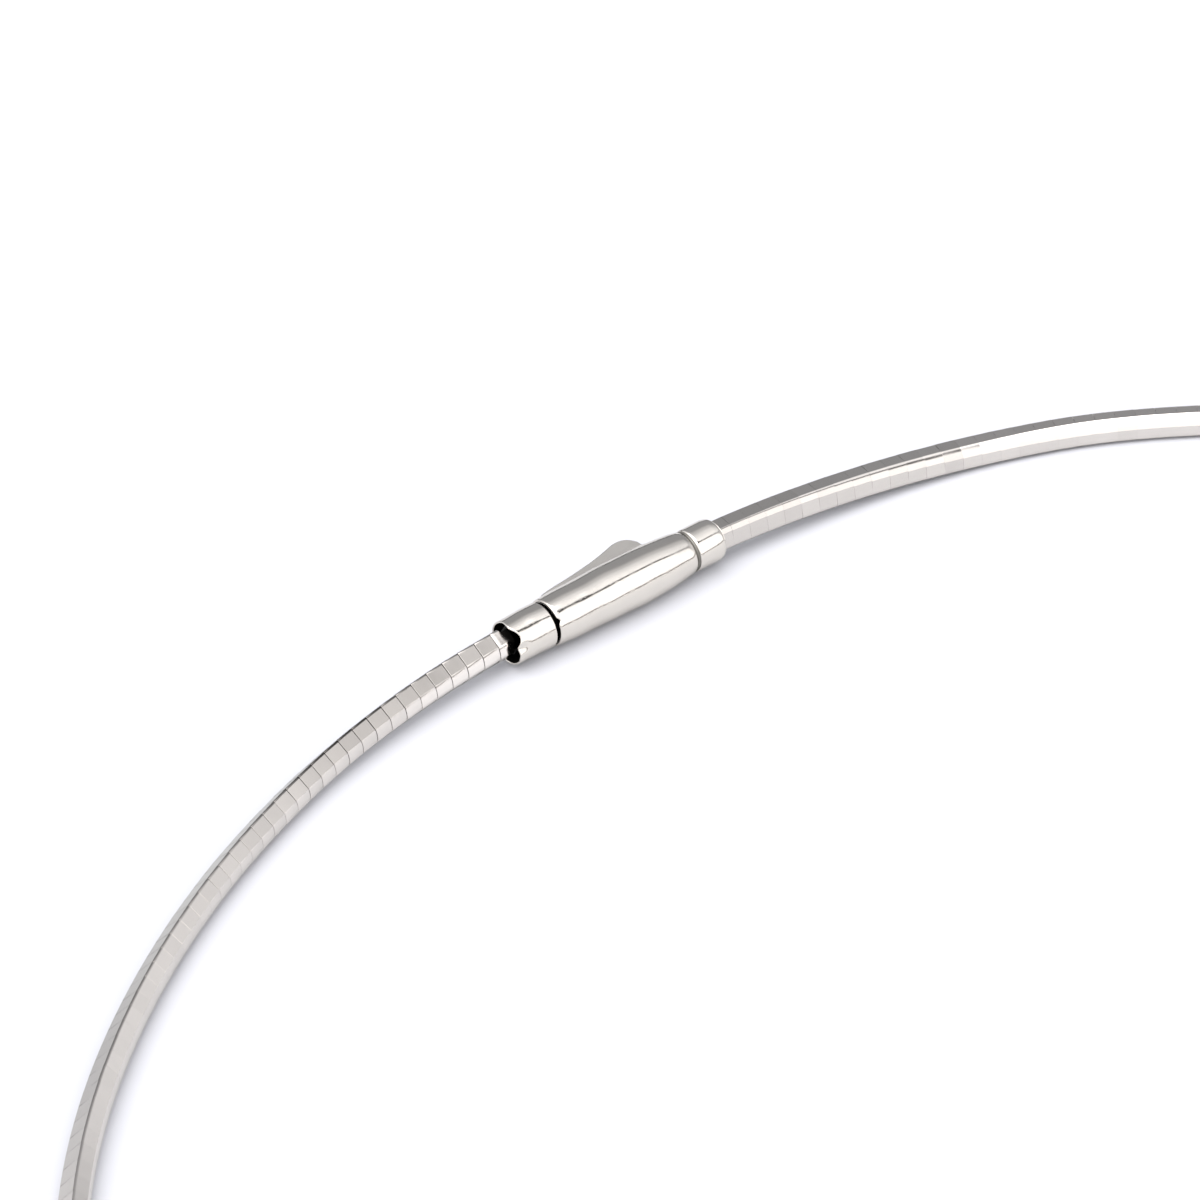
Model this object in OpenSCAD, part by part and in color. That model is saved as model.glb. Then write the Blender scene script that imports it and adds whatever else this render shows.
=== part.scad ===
// Omega necklace: one closed loop of close set plates, resting flat on the floor.
// Its two ends sit in a barrel clasp with a side lever. Long axis along X, clasp at +Y.
// The floor is z = 0. All sizes are in millimetres.

/* [Loop] */
// Half of the loop's long width, at the inner edge of the plates' flat top
oval_a = 69.75; // [60:0.05:85]
// Half of the loop's short width, at the same place
oval_b = 57.95; // [50:0.05:75]
// Distance from the clasp's ends over which the chain comes down to the floor
rise_len = 22; // [10:1:35]

/* [Chain] */
// Number of plates side by side
plate_count = 300; // [200:10:300]
// Height of a plate
plate_h = 1.5; // [1.2:0.05:1.8]
// Width of the flat top of a plate
flat_w = 1; // [0.8:0.05:1.2]
// Width and height of the slope along a plate's inner edge
slope_w = 0.62; // [0.4:0.01:0.75]
// How far the slope swells in its middle
slope_bow = 0.06; // [0:0.01:0.1]
// Half the width of the groove between two plates
groove_half = 0.07; // [0.04:0.01:0.15]
// Depth of the groove between two plates
groove_depth = 0.13; // [0.05:0.01:0.25]

/* [Clasp] */
// Place along X of the end cap's mouth
clasp_start = -9.25; // [-12:0.05:-6]
// Length of the end cap
cap_len = 2.8; // [2.5:0.05:5]
// Outer radius of the end cap at its mouth
cap_mouth_r = 1.43; // [1.28:0.01:1.48]
// Outer radius of the end cap at the barrel
cap_inner_r = 1.50; // [1.48:0.01:1.8]
// Wall of the end cap at its mouth
cap_wall = 0.13; // [0.1:0.01:0.16]
// Gap between the end cap and the barrel
seam_gap = 0.25; // [0.1:0.01:0.4]
// Length of the barrel up to its groove
barrel_len = 10.85; // [9:0.05:13]
// Outer radius of the barrel at its mouth
barrel_mouth_r = 1.55; // [1.45:0.01:1.65]
// Outer radius of the barrel at its widest place
barrel_wide_r = 1.70; // [1.65:0.01:2]
// Outer radius of the barrel at its groove
barrel_end_r = 1.36; // [1.3:0.01:1.5]
// Share of the barrel's length at which it is widest
barrel_wide_at = 0.58; // [0.4:0.01:0.75]
// Radius of the rolled lips
lip_r = 0.12; // [0.08:0.01:0.14]
// Radius at the bottom of the turned groove
neck_r = 1.24; // [1.15:0.01:1.28]
// Width of the turned groove
neck_w = 0.22; // [0.1:0.01:0.4]
// Length of the collar behind the groove
collar_len = 2.15; // [2:0.05:4]
// Outer radius of the collar
collar_r = 1.35; // [1.3:0.01:1.5]
// How much the collar swells between its ends
collar_swell = 0.04; // [0:0.01:0.15]
// Radius of the barrel's bore
bore_r = 1.15; // [1.1:0.01:1.2]
// Radial clearance of the chain in its two sockets
socket_clear = 0.07; // [0.05:0.01:0.09]
// Length of chain held in each socket
held_len = 1.6; // [1:0.1:2.2]

/* [Tongue] */
// Length of the tongue beyond the end cap
tongue_len = 8.4; // [6:0.1:8.8]
// Height of the tongue
tongue_h = 1.4; // [1:0.05:1.5]
// Thickness of the tongue
tongue_t = 0.5; // [0.3:0.05:0.6]
// Distance of the tongue's outer face inwards from the clasp's axis
tongue_in = 0.25; // [0.2:0.01:0.35]
// Thickness of each ear that holds the hinge pin
ear_t = 0.28; // [0.2:0.01:0.3]

/* [Lever] */
// Height of the lever
lever_h = 1.2; // [0.9:0.05:1.3]
// Distance of the lever's inner edge outwards from the clasp's axis
lever_in = 1.1; // [1:0.01:1.3]
// Clearance between the lever and the slot above and below it
slot_clear = 0.15; // [0.1:0.01:0.25]
// Place of the hinge along the clasp, from the end cap's mouth
hinge_x = 4.05; // [3.9:0.05:4.3]
// Place of the hinge outwards from the clasp's axis
hinge_y = 0.45; // [0.4:0.01:0.5]
// Radius of the hinge pin
pin_r = 0.17; // [0.12:0.01:0.2]
// Running clearance of the pin in the lever
pin_clear = 0.03; // [0.02:0.01:0.05]
// Radius of the lever's knuckle
knuckle_r = 0.38; // [0.33:0.01:0.4]
// Running clearance between the knuckle and the ears
ear_clear = 0.04; // [0.03:0.01:0.06]

/* [Hidden] */

round_fn = 64;
// How far the loop is drawn in from the oval on the clasp's half, out where negative
// Columns: place along X, distance
draw_line = [[-50, 0], [-27, -0.25], [-3, 0.79], [3, 0.79], [31, -0.88], [46, 0]];
// Roll of the plates, inner edge down where positive
// Columns: share of the chain counted from the collar, angle
roll_line = [[0, 0], [0.04, -6], [0.1, -5], [0.18, 0], [0.3, 0], [0.8, 41], [0.93, 41], [1, 32]];
// Outer edge of the lever in plan: place along the clasp, distance outwards from its axis
lever_line = [
    [3.60, 1.45],
    [4.15, 1.78],
    [5.15, 1.95],
    [6.60, 2.11],
    [8.20, 2.35],
    [9.20, 2.56],
    [9.90, 2.74],
    [10.45, 2.89],
    [10.95, 2.92],
    [11.40, 2.80],
    [11.72, 2.52],
    [11.92, 2.20],
    [11.98, 1.95]
];
// Steps of the table that turns a length of chain into a place on the loop
route_steps = 720;
// Clearance behind the end of the slot and of the tongue
end_clear = 0.5;

// Centre and radius of the smallest circle round a plate's section
seat_in = (flat_w - slope_w) / 2;
seat_r = norm([flat_w + slope_w, plate_h]) / 2;
socket_r = seat_r + socket_clear;
barrel_start = cap_len + seam_gap;
barrel_stop = barrel_start + barrel_len;
collar_start = barrel_stop + neck_w;
clasp_len = collar_start + collar_len;
clasp_mid = clasp_start + clasp_len / 2;
clasp_z = barrel_wide_r;
slot_half = lever_h / 2 + slot_clear;
slot_stop = lever_line[len(lever_line) - 1][0] + end_clear;
bore_stop = slot_stop + seam_gap;
knuckle_half = tongue_h / 2 - ear_t - ear_clear;

function smooth(u) = let(v = min(max(u, 0), 1)) v * v * (3 - 2 * v);
function unit(v) = v / norm(v);
// Smooth line through a table's rows, level beyond its ends
function blend(table, x) =
    let(
        t = min(max(x, table[0][0]), table[len(table) - 1][0]),
        i = max([for (k = [0 : len(table) - 2]) if (table[k][0] <= t) k]),
        a = table[i],
        b = table[i + 1]
    )
    a[1] + (b[1] - a[1]) * smooth((t - a[0]) / (b[0] - a[0]));
// Distance along X from the clasp's middle, or far away on the loop's other half
function clasp_gap(f) = sin(f) > 0 ? abs(oval_a * cos(f) - clasp_mid) : oval_a;
function inset(f) = sin(f) > 0 ? blend(draw_line, oval_a * cos(f)) : 0;
function roll(share) = blend(roll_line, share);
function path(f) = [oval_a * cos(f), oval_b * sin(f)] - inset(f) * unit([cos(f) / oval_a, sin(f) / oval_b]);
// Angle on the oval at which the drawn in route stands at x, after one correction
function face_at(x) = let(off = path(acos(x / oval_a))[0] - x) acos((x - off) / oval_a);

// The clasp's axis runs through the middles of the two stretches of chain that its ends hold;
// in the cap's wider mouth the chain lies against the outer side
mouth_bore = cap_mouth_r - cap_wall;
mouth_play = mouth_bore - seat_r - socket_clear;
held_a = path(face_at(clasp_start + held_len / 2)) + [0, seat_in * cos(roll(1)) - mouth_play];
held_b = path(face_at(clasp_start + clasp_len - held_len / 2)) + [0, seat_in * cos(roll(0))];
clasp_turn = atan2(held_b[1] - held_a[1], held_b[0] - held_a[0]);
// Where the axis starts, at the cap's mouth
axis_a = held_a - held_len / 2 * [cos(clasp_turn), sin(clasp_turn)];

// The chain runs clockwise, from inside the collar to inside the end cap
face_start = face_at(clasp_start + clasp_len - held_len);
face_stop = face_at(clasp_start + held_len) - 360;
function face(i) = face_start + (face_stop - face_start) * i / route_steps;
route = [for (i = [0 : route_steps]) path(face(i))];
step_len = [for (i = [0 : route_steps - 1]) norm(route[i + 1] - route[i])];
run = [for (i = 0, s = 0; i <= route_steps; s = s + (i < route_steps ? step_len[i] : 0), i = i + 1) s];
run_table = [for (i = [0 : route_steps]) [run[i], face(i)]];
chain_len = run[route_steps];
plate_pitch = chain_len / plate_count;

// Height of a plate's middle above the floor: on its lowest corner, or up at the clasp
function rest_z(r) = plate_h / 2 * cos(r) + max(slope_w * sin(r), -flat_w * sin(r));
function height(f, r) =
    let(up = clasp_z - seat_in * sin(r) - rest_z(r))
    rest_z(r) + up * smooth(1 - (clasp_gap(f) - clasp_len / 2) / rise_len);

// Section of a plate, drawn in by d: outwards is first, upwards is second
half_h = plate_h / 2;
slope_mid = [-slope_w, plate_h - slope_w] / 2 + slope_bow * unit([-1, 1]);
corners = [
    [flat_w, half_h],
    [0, half_h],
    slope_mid,
    [-slope_w, half_h - slope_w],
    [-slope_w, -half_h],
    [flat_w, -half_h]
];
function section(d) = [for (q = corners) [seat_in, 0] + (1 - d / half_h) * (q - [seat_in, 0])];
function ring(s, d) =
    let(
        f = lookup(s, run_table),
        p = path(f),
        t = unit(path(f - 0.1) - path(f + 0.1)),
        r = roll(s / chain_len),
        z = height(f, r)
    )
    [for (q = section(d))
        let(u = q[0] * cos(r) - q[1] * sin(r), v = q[0] * sin(r) + q[1] * cos(r))
        [p[0] - t[1] * u, p[1] + t[0] * u, z + v]];

// Middle of the whole piece's outline, which becomes the origin
function reach(r) = flat_w * cos(r) + half_h * abs(sin(r));
function share_at(f) = lookup(face_start - f, [for (row = run_table) [face_start - row[1], row[0]]]) / chain_len;
lever_tip = max([for (p = lever_line) axis_a[1] + p[0] * sin(clasp_turn) + p[1] * cos(clasp_turn)]);
mid_x = (reach(roll(share_at(0))) - reach(roll(share_at(-180)))) / 2;
mid_y = (lever_tip - oval_b - reach(roll(share_at(-90)))) / 2;

function barrel_r(x) =
    let(w = barrel_wide_at * barrel_len)
    x < w ? barrel_mouth_r + (barrel_wide_r - barrel_mouth_r) * sin(90 * x / w)
    : barrel_end_r + (barrel_wide_r - barrel_end_r) * pow(max(cos(90 * (x - w) / (barrel_len - w)), 0), 0.7);
// Quarter or half round from angle g0 to g1, given as radius and place along the clasp
function arc(c, r, g0, g1, n) = [for (k = [0 : n]) let(g = g0 + (g1 - g0) * k / n) c + r * [cos(g), sin(g)]];

module centred() translate([-mid_x, -mid_y, 0]) children();
module at_clasp() centred() translate([axis_a[0], axis_a[1], clasp_z]) rotate([0, 0, clasp_turn]) children();
module spun(profile) rotate([0, 90, 0]) rotate_extrude($fn = round_fn) polygon(profile);
module block(x0, x1, y0, y1, half) translate([x0, y0, -half]) cube([x1 - x0, y1 - y0, 2 * half]);
module post(r, half) translate([hinge_x, hinge_y, -half]) cylinder(r = r, h = 2 * half, $fn = round_fn);

module chain() {
    rings = concat(
        [for (k = [0 : plate_count - 1], e = [0 : 2])
            let(s = k * plate_pitch)
            e == 0 ? ring(s, k == 0 ? 0 : groove_depth)
            : e == 1 ? ring(s + groove_half, 0)
            : ring(s + plate_pitch - groove_half, 0)],
        [ring(chain_len, 0)]
    );
    m = len(rings[0]);
    n = len(rings);
    sides = [for (i = [0 : n - 2], j = [0 : m - 1], h = [0, 1])
        let(a = i * m + j, b = i * m + (j + 1) % m, c = a + m, e = b + m)
        h == 0 ? [a, c, e] : [a, e, b]];
    ends = [[for (j = [0 : m - 1]) j], [for (j = [m - 1 : -1 : 0]) (n - 1) * m + j]];
    color("silver") centred() polyhedron(points = [for (q = rings, p = q) p], faces = concat(sides, ends));
}

module end_cap() {
    plug = held_len + socket_clear;
    rim = cap_wall / 2;
    shell = concat(
        [[0, plug], [mouth_bore, plug]],
        arc([mouth_bore + rim, rim], rim, 180, 360, 8),
        arc([cap_inner_r - rim, cap_len - rim], rim, 0, 90, 4),
        [[0, cap_len]]
    );
    ear_top = hinge_y + knuckle_r;
    color("silver") at_clasp() difference() {
        union() {
            spun(shell);
            block(cap_len - rim, cap_len + tongue_len, -tongue_in - tongue_t, -tongue_in, tongue_h / 2);
            for (m = [-1, 1])
                translate([hinge_x - knuckle_r, -tongue_in - tongue_t / 2, m * (tongue_h - ear_t) / 2 - ear_t / 2])
                    cube([2 * knuckle_r, ear_top + tongue_in + tongue_t / 2, ear_t]);
        }
        post(pin_r, tongue_h);
    }
}

module barrel() {
    wide_steps = 14;
    outer = concat(
        [[0, bore_stop], [bore_r, bore_stop], [bore_r, barrel_start + 2 * lip_r]],
        arc([barrel_mouth_r - lip_r, barrel_start + lip_r], lip_r, 180, 360, 8),
        [for (k = [1 : wide_steps]) let(x = barrel_len * k / wide_steps)
            [barrel_r(x), barrel_start + x]],
        [[neck_r, barrel_stop + neck_w / 2]],
        [for (k = [0 : 4]) [collar_r + collar_swell * sin(180 * k / 5), collar_start + (collar_len - lip_r) * k / 5]],
        arc([collar_r - lip_r, clasp_len - lip_r], lip_r, 0, 90, 4),
        [[socket_r, clasp_len], [socket_r, clasp_len - held_len - socket_clear], [0, clasp_len - held_len - socket_clear]]
    );
    color("silver") at_clasp() difference() {
        spun(outer);
        block(barrel_start - lip_r, slot_stop, 0, 2 * barrel_wide_r, slot_half);
    }
}

module lever() {
    first = lever_line[0];
    last = lever_line[len(lever_line) - 1];
    color("silver") at_clasp() difference() {
        union() {
            translate([0, 0, -lever_h / 2])
                linear_extrude(height = lever_h)
                    polygon(concat(lever_line, [[last[0], lever_in], [first[0], lever_in]]));
            block(hinge_x - knuckle_r / 2, hinge_x + knuckle_r / 2, hinge_y, first[1], knuckle_half);
            post(knuckle_r, knuckle_half);
        }
        post(pin_r + pin_clear, tongue_h);
    }
}

module hinge_pin() color("silver") at_clasp() post(pin_r, tongue_h / 2);

chain();
end_cap();
barrel();
lever();
hinge_pin();
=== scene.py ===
# %% [markdown]
# # Omega necklace
# This lesson dresses the CAD frame of an omega necklace: a closed loop of close set metal plates, held by a
# barrel clasp with a side lever. The necklace lies on a pale table and is looked at from above the front.
# First the frame is loaded. It gives the bodies that each piece rides on.

# %% Load the frame
import math
import random

import bmesh
import bpy
import numpy as np
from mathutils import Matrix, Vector, noise


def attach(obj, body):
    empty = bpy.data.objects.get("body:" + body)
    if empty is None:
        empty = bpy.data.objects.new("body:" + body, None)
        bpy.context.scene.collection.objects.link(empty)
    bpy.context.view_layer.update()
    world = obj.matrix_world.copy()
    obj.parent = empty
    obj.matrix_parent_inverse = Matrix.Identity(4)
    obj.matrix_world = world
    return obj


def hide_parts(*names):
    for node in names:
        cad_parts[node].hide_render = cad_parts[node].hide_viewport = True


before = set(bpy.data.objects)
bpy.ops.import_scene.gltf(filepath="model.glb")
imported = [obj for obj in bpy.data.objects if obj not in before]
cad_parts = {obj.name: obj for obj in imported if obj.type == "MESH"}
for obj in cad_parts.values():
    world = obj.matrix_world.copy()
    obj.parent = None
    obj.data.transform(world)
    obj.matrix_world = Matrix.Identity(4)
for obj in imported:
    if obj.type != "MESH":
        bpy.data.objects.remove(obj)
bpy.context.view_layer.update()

def in_mm(metres):
    return [round(1000 * float(v), 2) for v in metres]

# %% [markdown]
# The sizes of the real piece are written once here, in millimetres, as in the CAD source. The plates of an
# omega chain are short folded shells: flat on top, at the bottom and outside, with a slope along the inner
# edge. Everything else is worked out from these values, so a plate meets its neighbour and the clasp by
# itself.

# %% Sizes of the chain
OVAL_A, OVAL_B, RISE_LEN = 69.75, 57.95, 22.0
PLATES = 300
PLATE_H, FLAT_W, SLOPE_W, SLOPE_BOW = 1.5, 1.0, 0.62, 0.06
# Place along X on the clasp's half, and how far the loop is drawn in from the oval there
DRAW_LINE = np.array([[-50, 0], [-27, -0.25], [-3, 0.79], [3, 0.79], [31, -0.88], [46, 0]])
# Share of the chain counted from the collar, and the roll of the plates there in degrees
ROLL_LINE = np.array([[0, 0], [0.04, -6], [0.1, -5], [0.18, 0], [0.3, 0], [0.8, 41], [0.93, 41], [1, 32]])
SEAT_IN = (FLAT_W - SLOPE_W) / 2
SEAT_R = math.hypot(FLAT_W + SLOPE_W, PLATE_H) / 2
print("a plate is", FLAT_W + SLOPE_W, "mm wide and", PLATE_H, "mm high")

# %% Sizes of the clasp
CLASP_START, CAP_LEN, SEAM_GAP = -9.25, 2.8, 0.25
CAP_MOUTH_R, CAP_INNER_R, CAP_WALL = 1.43, 1.50, 0.13
BARREL_LEN, BARREL_MOUTH_R, BARREL_WIDE_R, BARREL_END_R, BARREL_WIDE_AT = 10.85, 1.55, 1.70, 1.36, 0.58
LIP_R, NECK_R, NECK_W = 0.12, 1.24, 0.22
COLLAR_LEN, COLLAR_R, COLLAR_SWELL = 2.15, 1.35, 0.04
BORE_R, SOCKET_CLEAR, HELD_LEN = 1.15, 0.07, 1.6
TONGUE_LEN, TONGUE_H, TONGUE_T, TONGUE_IN, EAR_T = 8.4, 1.4, 0.5, 0.25, 0.28
LEVER_H, LEVER_IN, SLOT_CLEAR = 1.2, 1.1, 0.15
HINGE_X, HINGE_Y, PIN_R, KNUCKLE_R, EAR_CLEAR = 4.05, 0.45, 0.17, 0.38, 0.04
# The lever's outer edge: place along the clasp, distance outwards from its axis
LEVER_LINE = np.array([
    [3.60, 1.45], [4.15, 1.78], [5.15, 1.95], [6.60, 2.11], [8.20, 2.35], [9.20, 2.56], [9.90, 2.74],
    [10.45, 2.89], [10.95, 2.92], [11.40, 2.80], [11.72, 2.52], [11.92, 2.20], [11.98, 1.95]])
MOUTH_PLAY = CAP_MOUTH_R - CAP_WALL - SEAT_R - SOCKET_CLEAR
CLASP_LEN = CAP_LEN + SEAM_GAP + BARREL_LEN + NECK_W + COLLAR_LEN
CLASP_MID = CLASP_START + CLASP_LEN / 2
CLASP_Z = BARREL_WIDE_R
print("clasp length, mm:", round(CLASP_LEN, 2))

# %% [markdown]
# The loop is an oval that is drawn in a little at the clasp, as a stiff straight clasp does to a
# chain. It could be a curve object, but the plates need an even pitch and a roll of their own. So a
# table of the running length turns a length of chain into a place on the oval, and the roll and the
# rise towards the clasp follow from that.

# %% Helpers for smooth lines
def smooth(u):
    v = np.clip(u, 0, 1)
    return v * v * (3 - 2 * v)

def unit(v):
    return v / np.linalg.norm(v)

def turned(degrees):
    """Cosine and sine of an angle."""
    return np.cos(np.radians(degrees)), np.sin(np.radians(degrees))

def blend(table, x):
    """Smooth line through a table's rows, level beyond its ends."""
    x = min(max(x, table[0][0]), table[-1][0])
    i = min(np.searchsorted(table[:, 0], x, side="right") - 1, len(table) - 2)
    (x0, y0), (x1, y1) = table[i:i + 2]
    return y0 + (y1 - y0) * smooth((x - x0) / (x1 - x0))

print("roll at the middle of the chain, degrees:", round(float(blend(ROLL_LINE, 0.5)), 1))

# %% The oval and the running length
ROUTE_STEPS = 720
# Degrees to either side of a place that its direction of travel is read from
FACE_STEP = 0.1

def route_point(face):
    """Point of the loop that faces an angle, seen from the middle of the oval."""
    c, s = turned(face)
    inset = blend(DRAW_LINE, OVAL_A * c) if s > 0 else 0
    return np.array([OVAL_A * c, OVAL_B * s]) - inset * unit(np.array([c / OVAL_A, s / OVAL_B]))

def face_at(x):
    """Angle that the loop faces at a place along X, on the clasp's half."""
    off = route_point(math.degrees(math.acos(x / OVAL_A)))[0] - x
    return math.degrees(math.acos((x - off) / OVAL_A))

FIRST_FACE = face_at(CLASP_START + CLASP_LEN - HELD_LEN)
LAST_FACE = face_at(CLASP_START + HELD_LEN) - 360
FACES = np.linspace(FIRST_FACE, LAST_FACE, ROUTE_STEPS + 1)
STEP_LENGTHS = np.linalg.norm(np.diff([route_point(f) for f in FACES], axis=0), axis=1)
RUN = np.concatenate([[0], np.cumsum(STEP_LENGTHS)])
CHAIN_LEN = RUN[-1]
PITCH = CHAIN_LEN / PLATES
print(f"chain {CHAIN_LEN:.1f} mm, pitch {PITCH:.3f} mm")

# %% How a plate lies at a place on the chain
def roll_at(share):
    return blend(ROLL_LINE, share)

def reach(roll):
    """How far a rolled plate's outer side is from its route."""
    c, s = turned(roll)
    return FLAT_W * c + PLATE_H / 2 * abs(s)

def rest_z(roll):
    """Height of a plate's middle when its lowest corner is on the floor."""
    c, s = turned(roll)
    return PLATE_H / 2 * c + max(SLOPE_W * s, -FLAT_W * s)

def share_at(face):
    return np.interp(FACES[0] - face, FACES[0] - FACES, RUN) / CHAIN_LEN

def clasp_gap(face):
    """Distance along X from the clasp's middle; the far half of the loop is always a long way off."""
    c, s = turned(face)
    return abs(OVAL_A * c - CLASP_MID) if s > 0 else OVAL_A

print("plates at the far side reach out, mm:", round(float(reach(roll_at(share_at(-90)))), 3))

# %% Where the clasp lies, and the middle of the whole
HELD_A = route_point(face_at(CLASP_START + HELD_LEN / 2)) + [0, SEAT_IN * turned(roll_at(1))[0] - MOUTH_PLAY]
HELD_B = route_point(face_at(CLASP_START + CLASP_LEN - HELD_LEN / 2)) + [0, SEAT_IN * turned(roll_at(0))[0]]
CLASP_TURN = math.degrees(math.atan2(*(HELD_B - HELD_A)[::-1]))
AXIS_A = HELD_A - HELD_LEN / 2 * np.array(turned(CLASP_TURN))
TURN_C, TURN_S = turned(CLASP_TURN)
LEVER_TIP = max(AXIS_A[1] + along * TURN_S + outwards * TURN_C for along, outwards in LEVER_LINE)
MIDDLE = np.array([(reach(roll_at(share_at(0))) - reach(roll_at(share_at(-180)))) / 2,
                   (LEVER_TIP - OVAL_B - reach(roll_at(share_at(-90)))) / 2])

def place_on_chain(s):
    """Origin of a plate's section, outward direction and roll at a length s of chain."""
    face = np.interp(s, RUN, FACES)
    t = unit(route_point(face - FACE_STEP) - route_point(face + FACE_STEP))
    roll = roll_at(s / CHAIN_LEN)
    up = CLASP_Z - SEAT_IN * turned(roll)[1] - rest_z(roll)
    z = rest_z(roll) + up * smooth(1 - (clasp_gap(face) - CLASP_LEN / 2) / RISE_LEN)
    p = route_point(face) - MIDDLE
    return np.array([p[0], p[1], z]), np.array([-t[1], t[0], 0]), roll

print(f"middle {MIDDLE.round(3)} mm, clasp turned {CLASP_TURN:.2f} degrees")

# %% [markdown]
# The camera comes next, because every later choice is judged through it. It looks down at 39 degrees through
# a long lens from less than half a metre away, so only about a fifth of the loop is in the picture.

# %% Camera
# Focal length and width of the picture, both in pixels
FOCAL_PIXELS, PICTURE_PIXELS, SENSOR_MM = 8075, 1200, 36
CAMERA_AT = (-236.1, -244.8, 310.7)
CAMERA_TILT, CAMERA_HEADING = 51, -37.8

def add_camera():
    cam = bpy.data.objects.new("camera", bpy.data.cameras.new("camera"))
    bpy.context.scene.collection.objects.link(cam)
    cam.data.sensor_width = SENSOR_MM
    cam.data.lens = SENSOR_MM * FOCAL_PIXELS / PICTURE_PIXELS
    cam.data.clip_start, cam.data.clip_end = 0.02, 50
    x, y, z = CAMERA_AT
    cam.location = ((x - MIDDLE[0]) / 1000, (y - MIDDLE[1]) / 1000, z / 1000)
    cam.rotation_euler = (math.radians(CAMERA_TILT), 0, math.radians(CAMERA_HEADING))
    return cam

camera = add_camera()
bpy.context.scene.camera = camera
bpy.context.scene.view_settings.view_transform = "Standard"
print("camera lens, mm:", round(camera.data.lens, 1))

# %% [markdown]
# Light and metal are both made of shader nodes, and nodes made one by one take many lines. A few helpers keep
# the recipes short: one adds a node with its values, the others add a sum, a product, a soft step or a ramp.
# They only save writing; the nodes they make are the ones that the shader editor shows.

# %% Small helpers for shader nodes
def add(tree, kind, **sets):
    """Add a node, and set its properties and its inputs: an input's value is a constant or another socket."""
    n = tree.nodes.new(kind)
    for key, value in sets.items():
        if hasattr(n, key) and not key[0].isupper():
            setattr(n, key, value)
            continue
        numbered = key[0] == "I" and key[1:].isdigit()
        socket = n.inputs[int(key[1:]) if numbered else key.replace("_", " ")]
        if isinstance(value, bpy.types.NodeSocket):
            tree.links.new(value, socket)
        else:
            socket.default_value = value
    return n

def maths(tree, op, a, b=0.0, c=0.0):
    return add(tree, "ShaderNodeMath", operation=op, I0=a, I1=b, I2=c).outputs[0]

def total(tree, first, *others):
    for value in others:
        first = maths(tree, "ADD", first, value)
    return first

def product(tree, a, b):
    return maths(tree, "MULTIPLY", a, b)

def rest_of(tree, value):
    return maths(tree, "SUBTRACT", 1.0, value)

def soft_step(tree, value, start, stop, low=0.0, high=1.0):
    """A smooth change from low to high while value goes from start to stop."""
    return add(tree, "ShaderNodeMapRange", interpolation_type="SMOOTHSTEP",
               I0=value, I1=start, I2=stop, I3=low, I4=high).outputs[0]

print("node helpers ready")

# %% A ramp through chosen stops
def ramp(tree, value, stops):
    """A smooth curve through stops of (place, grey or colour)."""
    n = add(tree, "ShaderNodeValToRGB", I0=value)
    n.color_ramp.interpolation = "EASE"
    els = n.color_ramp.elements
    while len(els) < len(stops):
        els.new(0.5)
    for el, (at, grey) in zip(els, stops):
        el.position = at
        el.color = (*grey, 1) if isinstance(grey, tuple) else (grey, grey, grey, 1)
    return n.outputs[0]

print("ramp ready")

# %% [markdown]
# Polished metal shows its surroundings more than itself, so the studio is made with care. Lamps and cards
# could stand round the table, but a dome in the world shader is lit without noise and is easy to adjust. It
# is dim behind the necklace and brightest at the front, with a thin dark line at the horizon. A gap between
# two diffusers, and one wide lamp overhead, give the dark lines and the soft contact shadows along the clasp.

# %% The dome from front to back
# Level direction that points away behind the necklace
BEHIND = (0.613, 0.790, 0)
# Half of the dome's brightness and its tint: place from the front (0) to behind the necklace (1), value
GLOW = [(0.0, 0.80), (0.42, 0.86), (0.52, 0.82), (0.61, 0.68),
        (0.70, 0.55), (0.80, 0.36), (0.888, 0.205), (1.0, 0.20)]
TINT = [(0.4, (1.0, 0.985, 0.96)), (0.75, (1.0, 1.0, 1.0)), (1.0, (0.96, 0.98, 1.0))]
HORIZON_Z, HORIZON_GREY = 0.045, 0.12

world = bpy.data.worlds.new("studio_dome")
world.use_nodes = True
bpy.context.scene.world = world
dome = world.node_tree
dome.nodes.clear()
direction = add(dome, "ShaderNodeTexCoord").outputs["Generated"]
parts = add(dome, "ShaderNodeSeparateXYZ", I0=direction).outputs

def towards(axis):
    return add(dome, "ShaderNodeVectorMath", operation="DOT_PRODUCT", I0=direction, I1=axis).outputs["Value"]

back = maths(dome, "MULTIPLY_ADD", towards(BEHIND), 0.5, 0.5)
glow = ramp(dome, back, GLOW)
tint = ramp(dome, back, TINT)
off_horizon = maths(dome, "ABSOLUTE", maths(dome, "SUBTRACT", parts["Z"], HORIZON_Z))
horizon = soft_step(dome, off_horizon, 0.02, 0.055, HORIZON_GREY)
print("dome nodes so far:", len(dome.nodes))

# %% The gap between the diffusers
# The gap lies in the plane where these shares of Y and Z add up to nothing
GAP_Y, GAP_Z = 0.927, 0.375
# Shares of the gap's half width between which the diffuser's edge is blurred
EDGE_FROM, EDGE_TO = 0.5, 1.3

def along_x(start, stop, high):
    return soft_step(dome, parts["X"], start, stop, high=high)

across = total(dome, product(dome, parts["Y"], GAP_Y), product(dome, parts["Z"], GAP_Z))
off_gap = maths(dome, "ABSOLUTE", across)
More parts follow.
